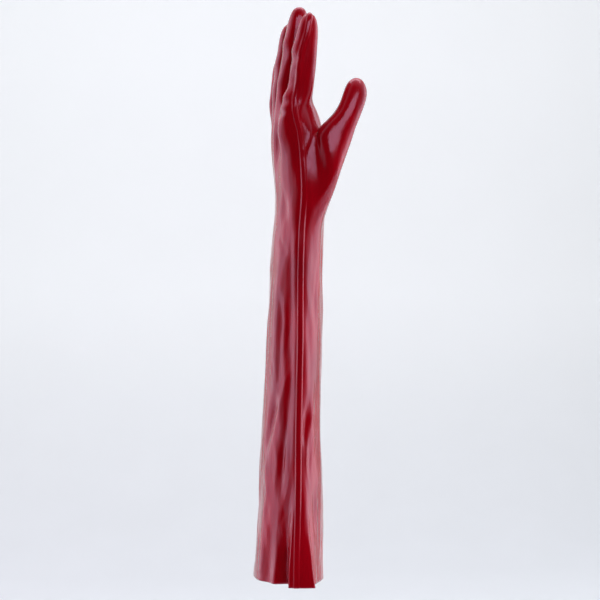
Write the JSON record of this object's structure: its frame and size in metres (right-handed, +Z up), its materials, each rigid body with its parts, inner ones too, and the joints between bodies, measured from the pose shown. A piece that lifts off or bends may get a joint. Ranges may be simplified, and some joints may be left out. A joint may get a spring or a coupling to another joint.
{
  "type": "long pvc coated work glove",
  "caption": "Long red PVC coated gauntlet glove for the left hand, upright as an arm fills it, with pleats at the cuff and side seams that show through the coat.",
  "frame": {"origin": "centre of the arm opening, level with the cuff's edge", "axes": "+Z up the arm to the fingertips, +X to the palm's side, -Y to the thumb's side"},
  "size_m": [0.1155, 0.157, 0.6006],
  "materials": {
    "pvc_coat": "satin"
  },
  "bodies": {
    "root": {"gauntlet_sleeve": "pvc_coat", "hand": "pvc_coat", "thumb": "pvc_coat", "index_finger": "pvc_coat", "middle_finger": "pvc_coat", "ring_finger": "pvc_coat", "little_finger": "pvc_coat"}
  },
  "joints": []
}
